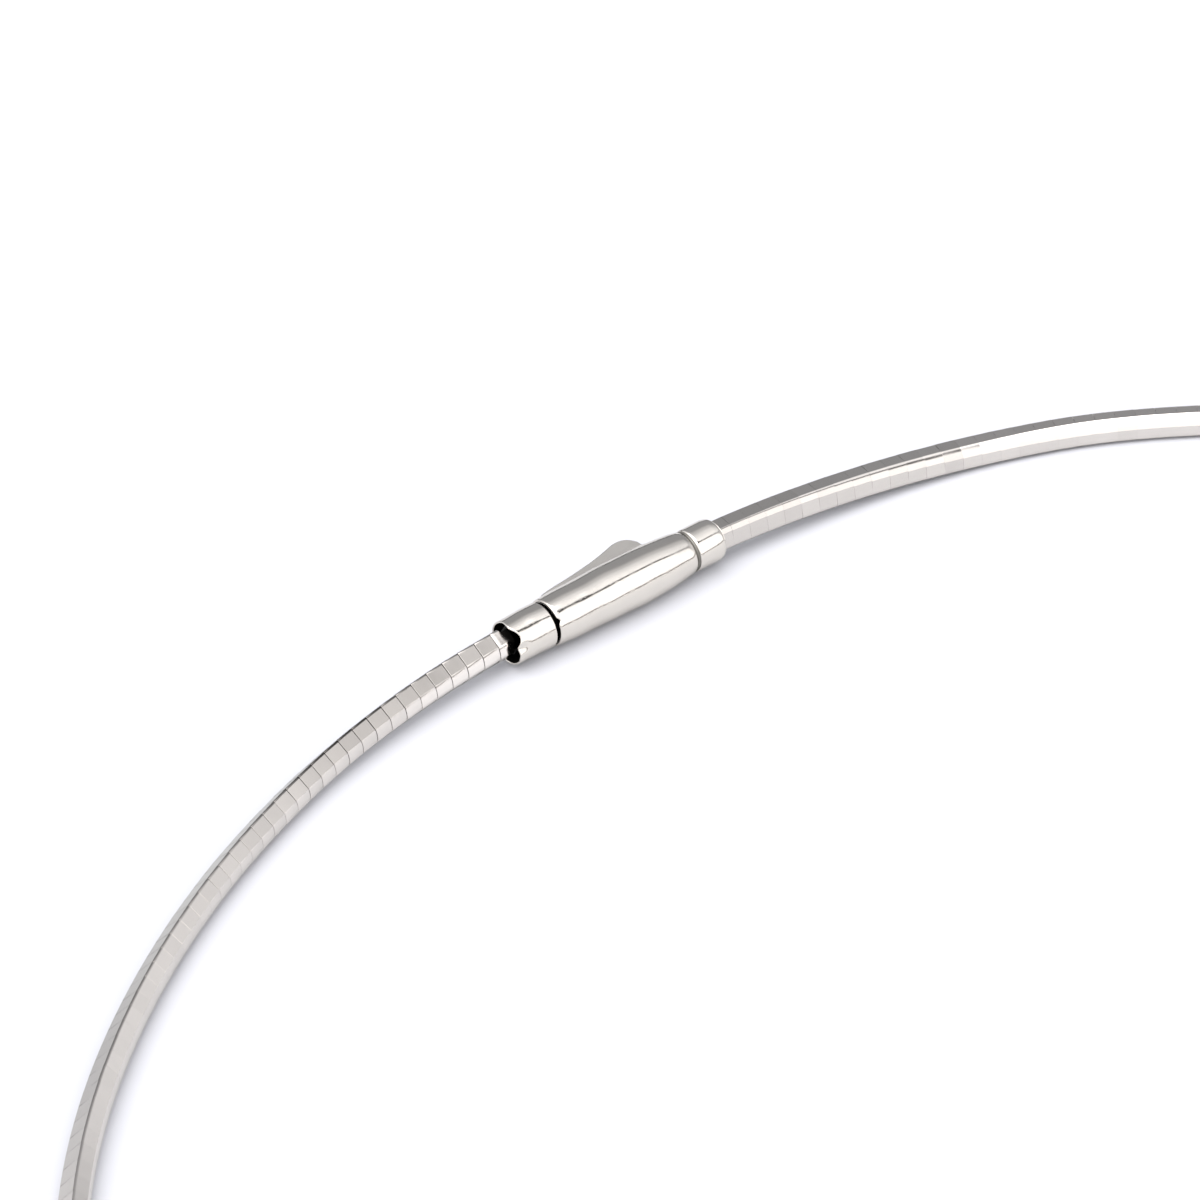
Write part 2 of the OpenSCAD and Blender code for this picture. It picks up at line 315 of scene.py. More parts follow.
# It starts ahead of the camera, is dark and a bit wider there, and gets lighter and then wide to the right
before_gap = along_x(0.35, 0.325, 1.0)
half_width = total(dome, along_x(0.47, 0.39, 0.08), 0.05, along_x(0.68, 0.84, 0.155))
light_inside = total(dome, along_x(0.56, 0.68, 0.26), 0.02, along_x(0.74, 0.92, 0.17))
edge_from, edge_to = product(dome, half_width, EDGE_FROM), product(dome, half_width, EDGE_TO)
beside_gap = soft_step(dome, off_gap, edge_from, edge_to)
diffuser = maths(dome, "MAXIMUM", beside_gap, before_gap)
front = total(dome, product(dome, glow, diffuser), product(dome, light_inside, rest_of(dome, diffuser)))
bright = product(dome, front, horizon)
print("dome nodes with the gap:", len(dome.nodes))

# %% The lamp overhead
LAMP_AT = (-0.25, 0.0, 0.968)
LAMP_STRENGTH, LAMP_COLOUR = 1.25, (1.0, 0.985, 0.965)
DOME_STRENGTH = 2.0

lamp = soft_step(dome, towards(LAMP_AT), 0.76, 0.92, high=LAMP_STRENGTH)
lamp_light = add(dome, "ShaderNodeVectorMath", operation="SCALE", I0=LAMP_COLOUR, Scale=lamp).outputs[0]

def blended(way, a, b):
    return add(dome, "ShaderNodeMix", data_type="RGBA", blend_type=way, Factor=1.0, I6=a, I7=b).outputs[2]

light = blended("ADD", blended("MULTIPLY", tint, bright), lamp_light)
sky = add(dome, "ShaderNodeBackground", Color=light, Strength=DOME_STRENGTH)
add(dome, "ShaderNodeOutputWorld", Surface=sky.outputs[0])
print("dome nodes in all:", len(dome.nodes))

# %% [markdown]
# The necklace lies on a plain white table that is burnt out in the picture, while its reflections in the
# metal are a middle grey. A brighter lamp would burn the metal out too. So the table's colour asks which ray
# looks at it: the camera's rays find a lighter one than the reflections do. The table is only staging, not a
# piece.

# %% The table
TABLE_HALF = 6.0
TABLE_IN_METAL, TABLE_IN_PICTURE = (0.517, 0.525, 0.543, 1), (0.553, 0.563, 0.612, 1)

def add_table():
    h = TABLE_HALF
    mesh = bpy.data.meshes.new("table_top")
    mesh.from_pydata([(-h, -h, 0), (h, -h, 0), (h, h, 0), (-h, h, 0)], [], [(0, 1, 2, 3)])
    o = bpy.data.objects.new("table_top", mesh)
    bpy.context.scene.collection.objects.link(o)
    return o

def white_surface():
    m = bpy.data.materials.new("white_table")
    m.use_nodes = True
    t = m.node_tree
    surface = t.nodes["Principled BSDF"]
    seen = add(t, "ShaderNodeLightPath").outputs["Is Camera Ray"]
    pale = add(t, "ShaderNodeMix", data_type="RGBA", Factor=seen, I6=TABLE_IN_METAL, I7=TABLE_IN_PICTURE)
    t.links.new(pale.outputs[2], surface.inputs["Base Color"])
    surface.inputs["Roughness"].default_value = 0.35
    surface.inputs["Specular IOR Level"].default_value = 0.25
    return m

floor = add_table()
floor.data.materials.append(white_surface())
print("table, m:", [round(d, 1) for d in floor.dimensions])

# %% [markdown]
# The metal is a polished white metal with a faint warm cast. Real polish is never perfect: hair lines from
# wear, a soft waviness from the buffing wheel and a slightly duller film in places. These are one node group,
# so the plates, the clasp and the pin share it with their own amounts.

# %% Node group: worn polish
GROUP_INPUTS = (("Film", 0.05), ("Hair Lines", 0.5), ("Waves", 0.5), ("Gloss", 0.12))
GROUP_OUTPUTS = ("Tone", "Roughness", "Height")
# How much rougher the film is, and how deep a hair line cuts next to a wave's height
FILM_ROUGH, HAIR_DEPTH = 1.2, -0.04

def noise_field(tree, **sets):
    return add(tree, "ShaderNodeTexNoise", **sets).outputs["Fac"]

def worn_polish():
    g = bpy.data.node_groups.new("worn polish", "ShaderNodeTree")
    for name, value in GROUP_INPUTS:
        g.interface.new_socket(name, in_out="INPUT", socket_type="NodeSocketFloat").default_value = value
    for name in GROUP_OUTPUTS:
        g.interface.new_socket(name, in_out="OUTPUT", socket_type="NodeSocketFloat")
    given, result = g.nodes.new("NodeGroupInput").outputs, g.nodes.new("NodeGroupOutput").inputs
    where = add(g, "ShaderNodeTexCoord").outputs["Object"]
    film = noise_field(g, Vector=where, Scale=900.0, Detail=3.0, Roughness=0.6)
    wave = noise_field(g, Vector=where, Scale=350.0, Detail=1.0)
    drawn = add(g, "ShaderNodeMapping", Vector=where, Scale=(1.0, 9.0, 9.0), Rotation=(0.3, 0.2, 0.4))
    hair = noise_field(g, Vector=drawn.outputs[0], Scale=2500.0, Detail=2.0)
    lines = add(g, "ShaderNodeMapRange", I0=hair, I1=0.60, I2=0.75).outputs[0]
    rough = product(g, film, product(g, given["Film"], FILM_ROUGH))
    cuts = product(g, lines, product(g, given["Hair Lines"], HAIR_DEPTH))
    g.links.new(rest_of(g, product(g, film, given["Film"])), result["Tone"])
    g.links.new(total(g, given["Gloss"], rough), result["Roughness"])
    g.links.new(total(g, product(g, wave, given["Waves"]), cuts), result["Height"])
    return g

POLISH = worn_polish()
print("worn polish:", [s.name for s in POLISH.interface.items_tree])

# %% [markdown]
# Each finish of the necklace is one material: bright plates, a brighter clasp, a satin lever, a
# drawn pin, a near-black that paints the shade in the insides and a grey that paints the shade in the
# groove. Pictures could paint the wear of single plates on, but the plates are one mesh and each has its
# own tone. So the plates' material reads a colour attribute that is stored on the points; it also holds
# painted light and shade along the chain and painted shade in the gaps between the plates.

# %% A metal
# What the attribute does: how much rougher satin and the painted gap shade make the metal, and how much the
# painted gap shade takes off the tone
SATIN_ROUGH, GAP_SHADE_ROUGH, GAP_SHADE_DARK = 0.10, 0.25, 0.75

def metal(name, colour, gloss, film, hair, waves, depth, marks_and_light=None):
    """A worn polished metal. marks_and_light names a colour attribute: red is tone, partly random and partly
    painted light and shade, green is satin, blue is painted shade in the gaps between plates.
    """
    m = bpy.data.materials.new(name)
    m.use_nodes = True
    t = m.node_tree
    surface = t.nodes["Principled BSDF"].inputs
    surface["Metallic"].default_value = 1.0
    polish = add(t, "ShaderNodeGroup", node_tree=POLISH, Film=film, Hair_Lines=hair, Waves=waves, Gloss=gloss)
    worn = polish.outputs
    tone, rough = worn["Tone"], worn["Roughness"]
    if marks_and_light:
        read = add(t, "ShaderNodeAttribute", attribute_name=marks_and_light)
        mark = add(t, "ShaderNodeSeparateColor", I0=read.outputs["Color"]).outputs
        tone = product(t, tone, mark["Red"])
        tone = product(t, tone, rest_of(t, product(t, mark["Blue"], GAP_SHADE_DARK)))
        rough = total(t, rough, product(t, mark["Green"], SATIN_ROUGH), product(t, mark["Blue"], GAP_SHADE_ROUGH))
    base = add(t, "ShaderNodeVectorMath", operation="SCALE", I0=colour, Scale=tone)
    t.links.new(base.outputs[0], surface["Base Color"])
    t.links.new(rough, surface["Roughness"])
    relief = add(t, "ShaderNodeBump", Strength=1.0, Distance=depth, Height=worn["Height"])
    t.links.new(relief.outputs[0], surface["Normal"])
    return m

print("metal recipe ready")

# %% The necklace's metals
# Name, colour, gloss, film, hair lines, waves, depth of the relief in metres, colour attribute with the
# plates' tone, satin and painted light and shade
PLATE_METAL = metal("polished_plates", (0.72, 0.685, 0.668), 0.10, 0.06, 0.5, 0.3, 0.00002, "plate_marks_and_light")
CLASP_METAL = metal("polished_clasp", (0.72, 0.685, 0.655), 0.07, 0.06, 0.5, 1.0, 0.00006)
LEVER_METAL = metal("satin_lever", (0.72, 0.69, 0.665), 0.30, 0.10, 1.0, 0.6, 0.00004)
# A near-black that paints the shade between the plates, in the bores, on the tongue and at the lever's root
SHADOW_BLACK_METAL = metal("painted_shadow_black", (0.012, 0.011, 0.010), 0.60, 0.3, 0.5, 0.5, 0.00003)
# A grey that paints the shade in the groove between the barrel and its collar
GROOVE_SHADE_METAL = metal("painted_groove_shade", (0.24, 0.23, 0.215), 0.32, 0.2, 0.5, 0.5, 0.00003)
PIN_METAL = metal("drawn_pin", (0.55, 0.54, 0.53), 0.25, 0.1, 1.0, 0.3, 0.00002)
print("metals:", [m.name for m in bpy.data.materials if m.name != "white_table"])

# %% [markdown]
# A piece is a mesh that moves with one rigid body and stands in for one or more solids of the CAD frame. Its
# points are worked out in millimetres and scaled once, here. Edges sharper than a set angle stay crisp and
# all others are shaded smooth, so round metal needs no dense mesh.

# %% Making a piece
SHARP_ANGLE = math.radians(42)

def set_shading(mesh):
    mesh.shade_smooth()
    mesh.set_sharp_from_angle(angle=SHARP_ANGLE)

def make_piece(name, points, faces, body, nodes, slot, *materials):
    """A mesh from points in millimetres that rides on a body and stands for CAD nodes."""
    mesh = bpy.data.meshes.new(name)
    mesh.from_pydata((np.asarray(points) / 1000).tolist(), [], faces)
    mesh.validate()
    set_shading(mesh)
    o = bpy.data.objects.new(name, mesh)
    bpy.context.scene.collection.objects.link(o)
    for m in materials:
        mesh.materials.append(m)
    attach(o, body)
    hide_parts(*nodes)
    box = np.ptp([v.co for v in mesh.vertices], axis=0)
    print(name, len(mesh.polygons), "faces, box in mm:", in_mm(box))
    return o

print("sharp above, degrees:", round(math.degrees(SHARP_ANGLE)))

# %% Faces and normals that several pieces share
def tube_faces(start, rings, around):
    """Quads between rings of points that follow on from start, and a face on each end."""
    faces = []
    for i in range(rings - 1):
        for j in range(around):
            a, b = start + i * around + j, start + i * around + (j + 1) % around
            faces.append((a, a + around, b + around, b))
    last = start + (rings - 1) * around
    return faces + [[start + j for j in range(around)], [last + j for j in range(around - 1, -1, -1)]]

def level_normals(o):
    """Let the large flat faces set the shading, so that the rounded edges take up all of the turn."""
    m = o.modifiers.new("level", "WEIGHTED_NORMAL")
    m.mode = "FACE_AREA"
    m.keep_sharp = True

print("faces of a square bar:", len(tube_faces(0, 2, 4)))

# %% [markdown]
# Each plate is a short length of the section with softly broken edges. The plates could be an array
# on a curve, but each real plate sits a hair differently, which is what makes their reflections
# flicker from plate to plate. So the loop is built plate by plate into one mesh, each plate straight
# and set with its own tiny tilt. Near the end cap the plates stand a little apart, where the chain
# was bent most; towards the collar they close up.

# %% An outline with rounded corners
def rounded(corners, n=3):
    """A closed outline through corners of (x, y, radius), each rounded in n steps."""
    out = []
    for i, (x, y, r) in enumerate(corners):
        p = np.array([x, y])
        if r == 0:
            out.append(p)
            continue
        before, after = corners[i - 1][:2], corners[(i + 1) % len(corners)][:2]
        a, b = unit(np.array(before) - p), unit(np.array(after) - p)
        half = math.acos(a @ b) / 2
        centre = p + unit(a + b) * r / math.sin(half)
        first, last = p + a * r / math.tan(half) - centre, p + b * r / math.tan(half) - centre
        out += [centre + r * unit(first * (1 - k / n) + last * k / n) for k in range(n + 1)]
    return np.array(out)

print("points of a rounded square:", len(rounded([(0, 0, 0.1), (1, 0, 0.1), (1, 1, 0.1), (0, 1, 0.1)])))

# %% The section of a plate
EDGE_R, OUTER_EDGE_R, BOTTOM_EDGE_R = 0.05, 0.11, 0.28
# Width of the flat top that stays level beside its rounded outer edge
TOP_RIM = 0.06

def plate_section(slope=1.0, outer_r=OUTER_EDGE_R):
    """Outline of a plate, from its slope's share of the full one and the radius of its top outer edge."""
    h, w, bow = PLATE_H / 2, SLOPE_W * slope, SLOPE_BOW * slope * math.sqrt(0.5)
    humps = [(t, 4 * bow * t * (1 - t)) for t in (0.25, 0.5, 0.75)]
    swell = [(-w * t - hump, h - w * t + hump, 0) for t, hump in humps]
    return rounded([(FLAT_W, h, outer_r), (FLAT_W - outer_r - TOP_RIM, h, 0), (0, h, EDGE_R), *swell,
                    (-w, h - w, EDGE_R), (-SLOPE_W, -h, BOTTOM_EDGE_R), (FLAT_W, -h, EDGE_R)])

def drawn_in(section, d):
    """The section made smaller by d on every side, towards its middle."""
    return [SEAT_IN, 0] + (1 - 2 * d / PLATE_H) * (section - [SEAT_IN, 0])

SECTION_POINTS = len(plate_section())
print("points in a plate's section:", SECTION_POINTS)

# %% How the plates' metal changes along the chain
# Points of the section that are on the outer wall, which is painted with shade, on the satin flat top and on
# the slope, which gets a painted highlight
OUTER_WALL = [*range(4), *range(SECTION_POINTS - 4, SECTION_POINTS)]
FLAT_TOP = slice(3, 7)
SLOPE = slice(9, 12)
# Painted light and shade on the flat top towards the cap: share of the chain, gain
TOP_LIGHT_AND_SHADE = np.array([
    [0.90, 0.15], [0.932, 0.10], [0.944, -0.03], [0.956, -0.25],
    [0.967, -0.31], [0.978, -0.15], [0.987, -0.10]])

def fade(share, start, length):
    """From 0 at a share of the chain to 1 a length further on, or back where the length is negative."""
    return smooth((share - start) / length)

# Where the plates turn from the collar's side to the cap's: share of the chain, length of the change
LEFT_SIDE = (0.4, 0.4)
# Where the outer wall gets painted shade and the slope a painted highlight: gain, and then as above
WALL_PAINTED_DARK, SLOPE_PAINTED_LIGHT = (0.40, 0.84, 0.05), (0.25, 0.970, 0.01)
# A stretch of painted shade on the outer wall: gain, middle, half of its length
WALL_SHADE = (0.38, 0.958, 0.035)

def band_light_and_satin(share):
    """Painted light and shade, and satin, of each point of the section, for a plate at a share of the chain.
    """
    left = fade(share, *LEFT_SIDE)
    tones, satin = np.ones(SECTION_POINTS), np.zeros(SECTION_POINTS)
    gain, middle, reach_out = WALL_SHADE
    shaded = gain * smooth(1 - abs(share - middle) / reach_out)
    # Painted shade on the outer wall, painted light and shade on the flat top, and a painted highlight on the
    # slope
    tones[OUTER_WALL] -= WALL_PAINTED_DARK[0] * fade(share, *WALL_PAINTED_DARK[1:]) + shaded
    tones[FLAT_TOP] += left * blend(TOP_LIGHT_AND_SHADE, share)
    tones[SLOPE] += SLOPE_PAINTED_LIGHT[0] * fade(share, *SLOPE_PAINTED_LIGHT[1:])
    satin[FLAT_TOP] = left
    return tones, satin

print("tones next to the cap:", band_light_and_satin(0.97)[0].round(2))

# %% How the plates' shape changes along the chain
# Gap between two plates on the collar's side, and how much wider it gets near the cap
PLATE_GAP, GAP_MORE = 0.003, 0.035
# How much of the slope is lost at the collar, and how much rounder the outer edge gets beyond it
SLOPE_LOSS, ROUNDER = 0.55, 0.19
LEAST_BENT = 0.02
# Where each change along the chain starts, and the length that it takes, both as shares of the chain
BENT_FROM, COLLAR_TO, WIDER_GAP_FROM = (0.88, 0.09), (0, 0.075), (0.90, 0.06)
ROUND_FROM, ROUND_UNTIL = (0.045, 0.04), (0.2, -0.05)

def bent_at(share):
    """How much the chain was bent by hand at a share of it: the plates there stand less evenly."""
    return LEAST_BENT + (1 - LEAST_BENT) * fade(share, *BENT_FROM)

def collar_nearness(share):
    return 1 - fade(share, *COLLAR_TO)

def section_at(share):
    outer_r = OUTER_EDGE_R + ROUNDER * fade(share, *ROUND_FROM) * fade(share, *ROUND_UNTIL)
    return plate_section(1 - SLOPE_LOSS * collar_nearness(share), outer_r)

def half_length_at(share):
    return (PITCH - PLATE_GAP - GAP_MORE * fade(share, *WIDER_GAP_FROM)) / 2

print("plate length at the collar, then at the cap, mm:", [round(2 * half_length_at(s), 3) for s in (0, 1)])

# %% How a plate is set
def plate_pose(k, roll_off, yaw, nod):
    """Middle of plate k, its direction along the chain, and the two directions of its section."""
    middle, out, roll = place_on_chain((k + 0.5) * PITCH)
    ahead = place_on_chain(min((k + 0.9) * PITCH, CHAIN_LEN))[0]
    chord = ahead - place_on_chain((k + 0.1) * PITCH)[0]
    along = unit(chord + np.array([0, 0, math.tan(nod) * np.linalg.norm(chord)]))
    side = unit(np.cross(along, [0, 0, 1]))
    side = side if side @ out > 0 else -side
    along = unit(along + side * math.tan(yaw))
    side = unit(np.cross(np.cross(along, side), along))
    up = np.cross(side, along)
    up = up if up[2] > 0 else -up
    c, s = turned(roll + roll_off)
    return middle, along, side * c + up * s, up * c - side * s

# Spread of roll, yaw and nod in degrees: everywhere, and how much more where the chain was bent
ROLL_SPREAD, YAW_SPREAD, NOD_SPREAD = (0.25, 0.3), (0.05, 0.2), (0.1, 0.25)
TONE_SPREAD = 0.025
# Painted shade on the plates next to the collar: the least, and what chance adds
COLLAR_SHADE, COLLAR_CHANCE = 0.10, 0.08

def random_setting(rng, share):
    """Roll in degrees, yaw and nod in radians and tone of one plate, a little off the even ones; next to the
    collar the tone also carries painted shade.
    """
    bent, near_collar = bent_at(share), collar_nearness(share)
    roll, yaw, nod = [least + more * bent for least, more in (ROLL_SPREAD, YAW_SPREAD, NOD_SPREAD)]
    roll_off = rng.gauss(0, roll + near_collar)
    yaw_off = math.radians(rng.gauss(0, yaw))
    nod_off = math.radians(rng.gauss(0, nod))
    tone = 1 - abs(rng.gauss(0, TONE_SPREAD))
    collar_shade = (COLLAR_SHADE + COLLAR_CHANCE * rng.random()) * near_collar
    return roll_off, yaw_off, nod_off, tone * (1 - collar_shade)

print("first plate's middle, mm:", plate_pose(0, 0, 0, 0)[0].round(2))

# %% The plates
# Rings of a plate: distance from its end, how far the section is drawn in, painted shade in the gap
PLATE_RINGS = [(0.0, 0.10, 1.0), (0.0, 0.03, 0.5), (0.008, 0.008, 0.1), (0.03, 0.0, 0.0)]
# The last plate that shows is cut off on the slant inside the cap; the one after it lies in the dark and is
# painted black as shade
CUT_BACK, CUT_SLANT = 0.36, 0.30
CUT_PLATE, HIDDEN_PLATE = PLATES - 2, PLATES - 1

def plate_rings(share):
    """Rings of a plate from end to end: place along it, how far the section is drawn in, painted shade in the
    gap.
    """
    half, bent = half_length_at(share), bent_at(share)
    # Where the plates stand further apart, their ends carry more painted shade
    first = [(at - half, d * bent, gap_shade * bent) for at, d, gap_shade in PLATE_RINGS]
    return first + [(-at, d, gap_shade) for at, d, gap_shade in reversed(first)]

def build_plates():
    rng = random.Random(7)
    points, faces, marks_and_light = [], [], []
    for k in range(PLATES):
        share = (k + 0.5) / PLATES
        roll_off, yaw, nod, tone = random_setting(rng, share)
        middle, along, u_dir, v_dir = plate_pose(k, roll_off, yaw, nod)
        # The plate inside the cap is painted black as shade
        tone = 0.0 if k == HIDDEN_PLATE else tone
        tones, satin = band_light_and_satin(share)
        section, rings = section_at(share), plate_rings(share)
        faces += tube_faces(len(points), len(rings), SECTION_POINTS)
        for i, (at, d, gap_shade) in enumerate(rings):
            slanted = k == CUT_PLATE and i >= len(PLATE_RINGS)
            for j, (u, v) in enumerate(drawn_in(section, d)):
                cut = CUT_BACK + CUT_SLANT * u if slanted else 0
                points.append(middle + along * (at - cut) + u_dir * u + v_dir * v)
                marks_and_light.append((tone * tones[j], satin[j], gap_shade, 1.0))
    o = make_piece("plates", points, faces, "necklace", ["chain"], "plates", PLATE_METAL)
    layer = o.data.color_attributes.new("plate_marks_and_light", "FLOAT_COLOR", "POINT")
    layer.data.foreach_set("color", np.array(marks_and_light, dtype=np.float32).ravel())
    level_normals(o)

build_plates()

# %% [markdown]
# Between the plates the woven core shows as a thin dark line, which is shade. Weaving it would never be seen,
# so it is a smaller tube of the same section that runs through all the plates, painted near black as shade,
# with few points.

# %% The core
CORE_STEPS, CORE_MARGIN = 600, 0.1
# The slope of the core's section, and how far the section is drawn in from a plate's
CORE_SLOPE, CORE_IN = 0.45, 0.17

def build_core():
    points = []
    section = drawn_in(plate_section(CORE_SLOPE), CORE_IN)[::2]
    for s in np.linspace(CORE_MARGIN, CHAIN_LEN - CORE_MARGIN, CORE_STEPS + 1):
        middle, out, roll = place_on_chain(s)
        c, si = turned(roll)
        points += [middle + out * (u * c - v * si) + np.array([0, 0, u * si + v * c]) for u, v in section]
    faces = tube_faces(0, CORE_STEPS + 1, len(section))
    make_piece("woven_core", points, faces, "necklace", ["chain"], "plates", SHADOW_BLACK_METAL)

build_core()

# %% [markdown]
# The clasp's shells are turned parts, so each is a profile swept round the clasp's axis. A screw modifier
# could do that, but here each point of the sweep may also be moved a little: a faint unevenness, as in sheet
# metal that was spun and soldered by hand, bends the reflections, and the mouths get their dents and nicks.

# %% Helpers for the clasp's shapes
def on_clasp(p):
    """From the clasp's own frame (along, outwards, upwards) to the necklace's."""
    a = AXIS_A - MIDDLE
    x, y = a[0] + p[0] * TURN_C - p[1] * TURN_S, a[1] + p[0] * TURN_S + p[1] * TURN_C
    return np.array([x, y, CLASP_Z + p[2]])

def arc(cx, cy, r, g0, g1, n):
    return [(cx + r * turned(g)[0], cy + r * turned(g)[1]) for g in np.linspace(g0, g1, n + 1)]

def steps(f, a, b, n):
    return [(f(x), x) for x in np.linspace(a, b, n)]

def bump(angle, middle, width):
    """A soft bump on the circle, from 1 at its middle to 0 at its width."""
    return float(smooth(1 - abs((angle - middle + 180) % 360 - 180) / width))

print("the cap's mouth is at, mm:", on_clasp((0, 0, 0)).round(2))

# %% Turned shells
TURNS = 160
UNEVEN = 0.035
# Size of the unevenness along the clasp and round it, and where in the noise it is read
NOISE_ALONG, NOISE_ROUND, NOISE_AT = 0.55, 0.9, Vector((3.1, 7.7, 1.3))

def spun(name, profile, node, dented, dark, groove_shade=()):
    """Sweep a profile of (radius, along) round the clasp's axis. Its stretches in dark are painted near black
    as shade in the bores' insides, and those in groove_shade are painted grey as shade in the groove."""
    points, faces = [], []
    n = len(profile)
    for k in range(TURNS):
        angle = 360 * k / TURNS
        c, s = turned(angle)
        for r, x in profile:
            spot = Vector((x * NOISE_ALONG, c * NOISE_ROUND, s * NOISE_ROUND)) + NOISE_AT
            r2, x2 = dented(r + noise.noise(spot) * UNEVEN, x, angle)
            points.append(on_clasp((x2, r2 * c, r2 * s) if r > 0.01 else (x, 0, 0)))
    for k in range(TURNS):
        for j in range(n - 1):
            a, b = k * n + j, ((k + 1) % TURNS) * n + j
            faces.append((a, a + 1, b + 1, b))
    o = make_piece(name, points, faces, "necklace", [node], "clasp", CLASP_METAL, SHADOW_BLACK_METAL, GROOVE_SHADE_METAL)
    for i, f in enumerate(o.data.polygons):
        stretch = i % (n - 1)
        f.material_index = 1 if stretch in dark else 2 if stretch in groove_shade else 0
    return o

print("turned shells have", TURNS, "steps round")

# %% [markdown]
# The end cap is a small cup that the chain's last plates are soldered into. Its mouth isn't a
# clean circle: the metal is cut back along the top and its lip is pushed in at the side, so the
# dark hollow and the slanted end of the last plate show. A boolean cut would leave a hard edge, so
# the mouth's own points are moved instead.

# %% The dented mouth of the cap
# The mouth's dents fade out this far from its edge
DENT_LEN = 0.9

def dented_mouth(r, x, angle):
    """The soldered mouth: cut back along its upper inner side, and its lip pushed in below that."""
    near = float(smooth(1 - x / DENT_LEN))
    pushed_in = 0.20 * bump(angle, 166, 18) - 0.03 * bump(angle, 205, 30)
    cut_back = 0.30 * bump(angle, 135, 36) + 0.08 * bump(angle, 60, 30) - 0.05 * bump(angle, 100, 20)
    return r - near * pushed_in, x + near * cut_back

print("deepest cut in the mouth, mm:", round(dented_mouth(CAP_MOUTH_R, 0, 135)[1], 2))

# %% The end cap
def cap_radius(x):
    return CAP_MOUTH_R + (CAP_INNER_R - CAP_MOUTH_R) * math.sin(math.pi / 2 * min(x / CAP_LEN, 1))

# Depth of the hollow where its wall starts to be seen, below which it is painted with shade, steps along the
# shell, and where they start
LIT_DEPTH, CAP_STEPS, CAP_FROM = 0.6, 14, 0.15
# Share of the rim's radius by which the steps end before the cap does
RIM_SHARE = 1.2

def build_cap():
    rim = CAP_WALL / 2
    floor_at = HELD_LEN + SOCKET_CLEAR
    bore = CAP_MOUTH_R - CAP_WALL
    profile = [(0, floor_at), (bore * 0.5, floor_at), (bore, floor_at), (bore, LIT_DEPTH), (bore, rim * 2)]
    profile += arc(bore + rim, rim, rim, 180, 360, 8)
    profile += steps(cap_radius, CAP_FROM, CAP_LEN - rim * RIM_SHARE, CAP_STEPS)
    profile += arc(CAP_INNER_R - rim, CAP_LEN - rim, rim, 0, 90, 5)
    profile += [(BORE_R, CAP_LEN), (0, CAP_LEN)]
    last = len(profile) - 1
    # The hollow's floor and deep wall, and the cap's end towards the barrel, are painted near black as shade
    spun("end_cap_shell", profile, "end_cap", dented_mouth, [*range(4), *range(last - 3, last)])

build_cap()

# %% [markdown]
# Inside the barrel the cap carries a flat tongue and two ears for the lever's pin. They hardly show, but a
# look into the slot should find them, so they are plain bevelled bars. The tongue and its ears are painted
# near black as shade, so that the seam between cap and barrel reads as a dark line.

# %% Bars and rods
def bar(x0, x1, y0, y1, z0, z1, e=0.03):
    """A box with all edges broken by e, as points and faces, in the clasp's frame."""
    low, high = np.array([x0, y0, z0]), np.array([x1, y1, z1])
    bm = bmesh.new()
    bmesh.ops.create_cube(bm, size=1)
    for v in bm.verts:
        v.co = (low + high) / 2 + np.array(v.co) * (high - low)
    bmesh.ops.bevel(bm, geom=bm.edges[:], offset=e, segments=2, profile=0.5, affect="EDGES")
    bm.verts.index_update()
    out = [tuple(v.co) for v in bm.verts], [[v.index for v in f.verts] for f in bm.faces]
    bm.free()
    return out

def rod(r, x, y, z0, z1, n=32):
    ring = [(x + r * turned(360 * k / n)[0], y + r * turned(360 * k / n)[1]) for k in range(n)]
    sides = [(k, (k + 1) % n, n + (k + 1) % n, n + k) for k in range(n)]
    ends = [list(range(n - 1, -1, -1)), list(range(n, 2 * n))]
    return [(*p, z) for z in (z0, z1) for p in ring], sides + ends

def joined(*shapes):
    points, faces = [], []
    for more_points, more_faces in shapes:
        n = len(points)
        points += more_points
        faces += [[i + n for i in f] for f in more_faces]
    return points, faces

print("points of a bevelled bar:", len(bar(0, 1, 0, 1, 0, 1)[0]))

# %% The tongue, its ears and the pin
TONGUE_SUNK, PIN_PROUD = 0.05, 0.005

def ear(side):
    """One of the two ears: side is 1 above the lever and -1 below it."""
    z = side * (TONGUE_H - EAR_T) / 2
    return bar(HINGE_X - KNUCKLE_R, HINGE_X + KNUCKLE_R, -TONGUE_IN - TONGUE_T / 2, HINGE_Y + KNUCKLE_R,
               z - EAR_T / 2, z + EAR_T / 2)

def build_tongue():
    blade = bar(CAP_LEN - TONGUE_SUNK, CAP_LEN + TONGUE_LEN, -TONGUE_IN - TONGUE_T, -TONGUE_IN,
                -TONGUE_H / 2, TONGUE_H / 2)
    points, faces = joined(blade, ear(-1), ear(1))
    make_piece("tongue", [on_clasp(p) for p in points], faces, "necklace", ["end_cap"], "clasp", SHADOW_BLACK_METAL)

def build_pin():
    half = TONGUE_H / 2 + PIN_PROUD
    points, faces = rod(PIN_R, HINGE_X, HINGE_Y, -half, half)
    placed = [on_clasp(p) for p in points]
    make_piece("hinge_pin_wire", placed, faces, "necklace", ["hinge_pin"], "pin", PIN_METAL)

build_tongue()
build_pin()

# %% [markdown]
# The barrel is one turned shell with a rolled lip, a swelling body, a narrow groove and the collar that holds
# the chain's other end. Its outline decides how the long highlights run, so each stretch has its own formula:
# a sine up to the widest place, a flattened cosine down from there, and rows of points only for the groove.

